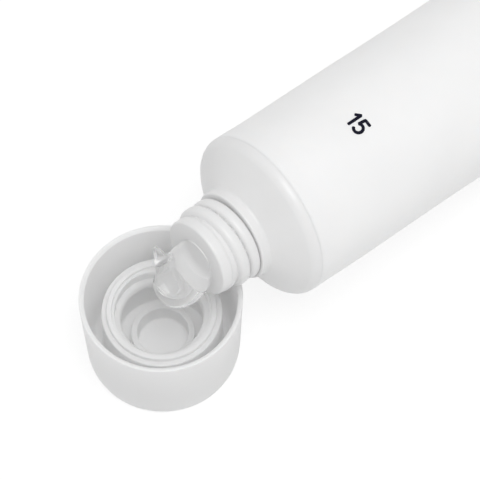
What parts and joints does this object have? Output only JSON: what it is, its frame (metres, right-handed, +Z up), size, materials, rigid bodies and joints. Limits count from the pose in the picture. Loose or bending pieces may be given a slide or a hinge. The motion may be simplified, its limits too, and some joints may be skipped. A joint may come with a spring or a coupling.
{
  "type": "conductive gel tube",
  "caption": "Small round-shouldered squeeze tube of clear gel, open, with its threaded neck lying on the rim of its upturned screw cap and a bead of gel at the nozzle.",
  "frame": {"origin": "centre of the cap's flat base, on the ground", "axes": "+Z up, out of the mouth of the upturned cap; +X the way that the tube's nozzle points in plan, with the tube running back to its crimp along -X"},
  "size_m": [0.1158, 0.0294, 0.0255],
  "materials": {
    "sleeve_plastic": "smooth white polyethylene with a soft sheen",
    "head_plastic": "moulded natural white polyethylene",
    "cap_plastic": "moulded white polypropylene, a little translucent",
    "clear_gel": "clear wet gel"
  },
  "bodies": {
    "root": {"sleeve": "sleeve_plastic", "head": "head_plastic", "gel": "clear_gel", "cap": "cap_plastic"}
  },
  "joints": []
}
